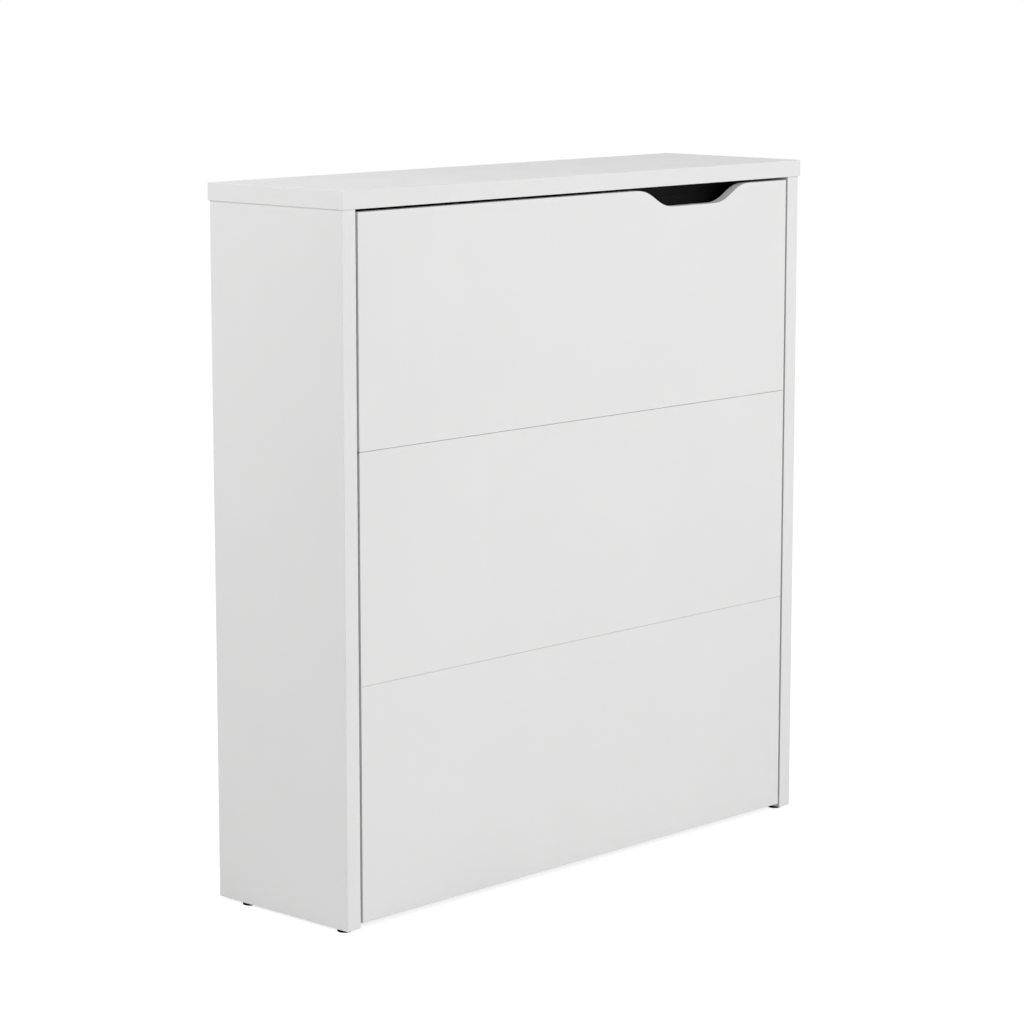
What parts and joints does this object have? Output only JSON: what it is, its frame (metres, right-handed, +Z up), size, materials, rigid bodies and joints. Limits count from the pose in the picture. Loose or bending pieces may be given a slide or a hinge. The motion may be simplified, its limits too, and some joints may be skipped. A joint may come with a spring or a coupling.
{
  "type": "convertible desk",
  "caption": "Slim white cabinet desk: the upper front board, with a finger cut-out, falls forward as a writing surface over handleless deep drawers; black pigeonholes inside.",
  "frame": {"origin": "on the floor under the middle of the top board", "axes": "+X to the right seen from the front, +Y to the back, +Z up; the fronts face -Y"},
  "size_m": [0.974, 0.27, 1.025],
  "materials": {
    "white_board": "satin white laminate on board",
    "black_board": "matte black laminate on board",
    "black_hardboard": "matte black faced hardboard",
    "drawer_board": "matte white melamine board",
    "drawer_bottom_board": "white faced hardboard",
    "black_plastic": "moulded matte",
    "white_nylon": "moulded satin",
    "beech": "fluted turned beech",
    "zinc_rail": "bright zinc on rolled steel",
    "nickel_steel": "satin nickel on flat steel",
    "cast_zinc": "raw die casting",
    "zinc_steel": "bright zinc"
  },
  "bodies": {
    "cabinet": {"back_panel": "black_hardboard", "back_screws": "zinc_steel", "base_panel": "white_board", "bracket_screws": "zinc_steel", "cam_bolts": "zinc_steel", "cam_housings": "cast_zinc", "catch_screws": "zinc_steel", "dowels": "beech", "drawer_divider": "white_board", "glides": "black_plastic", "guide_screws": "zinc_steel", "left_side_panel": "white_board", "lower_left_cabinet_rail": "zinc_rail", "lower_right_cabinet_rail": "zinc_rail", "magnetic_catch": "black_plastic", "organizer_fascia": "black_board", "organizer_left_divider": "black_board", "organizer_left_wall": "black_board", "organizer_right_divider": "black_board", "organizer_right_wall": "black_board", "organizer_screws": "zinc_steel", "organizer_shelf": "black_board", "organizer_top": "black_board", "pivot_bushes": "white_nylon", "rail_screws": "zinc_steel", "right_side_panel": "white_board", "stay_guides": "white_nylon", "top_panel": "white_board", "upper_left_cabinet_rail": "zinc_rail", "upper_right_cabinet_rail": "zinc_rail", "wall_brackets": "zinc_steel", "writing_shelf": "white_board"},
    "writing_flap": {"flap_panel": "white_board", "flap_screws": "zinc_steel", "left_quadrant_stay": "nickel_steel", "pivot_pins": "zinc_steel", "right_quadrant_stay": "nickel_steel", "strike_plate": "zinc_steel"},
    "upper_drawer": {"upper_drawer_back": "drawer_board", "upper_drawer_bottom": "drawer_bottom_board", "upper_drawer_box_front": "drawer_board", "upper_drawer_front": "white_board", "upper_drawer_left_side": "drawer_board", "upper_drawer_right_side": "drawer_board", "upper_drawer_screws": "zinc_steel", "upper_left_drawer_rail": "zinc_rail", "upper_right_drawer_rail": "zinc_rail"},
    "upper_runners": {"upper_left_middle_rail": "zinc_rail", "upper_right_middle_rail": "zinc_rail"},
    "lower_drawer": {"lower_drawer_back": "drawer_board", "lower_drawer_bottom": "drawer_bottom_board", "lower_drawer_box_front": "drawer_board", "lower_drawer_front": "white_board", "lower_drawer_left_side": "drawer_board", "lower_drawer_right_side": "drawer_board", "lower_drawer_screws": "zinc_steel", "lower_left_drawer_rail": "zinc_rail", "lower_right_drawer_rail": "zinc_rail"},
    "lower_runners": {"lower_left_middle_rail": "zinc_rail", "lower_right_middle_rail": "zinc_rail"}
  },
  "joints": [
    {"name": "flap_hinge", "type": "hinge", "parent": "cabinet", "child": "writing_flap", "pos_m": [0, -0.1245, 0.6785], "axis": [1, 0, 0], "range_deg": [0, 90]},
    {"name": "upper_drawer_slide", "type": "slide", "parent": "cabinet", "child": "upper_drawer", "axis": [0, -1, 0], "range_m": [-0.002, 0.18]},
    {"name": "upper_runner_slide", "type": "slide", "parent": "cabinet", "child": "upper_runners", "axis": [0, -1, 0], "range_m": [-0.001, 0.09]},
    {"name": "lower_drawer_slide", "type": "slide", "parent": "cabinet", "child": "lower_drawer", "axis": [0, -1, 0], "range_m": [-0.002, 0.18]},
    {"name": "lower_runner_slide", "type": "slide", "parent": "cabinet", "child": "lower_runners", "axis": [0, -1, 0], "range_m": [-0.001, 0.09]}
  ],
  "couplings": [
    {"joint": "upper_runner_slide", "follows": "upper_drawer_slide", "ratio": 0.5},
    {"joint": "lower_runner_slide", "follows": "lower_drawer_slide", "ratio": 0.5}
  ]
}
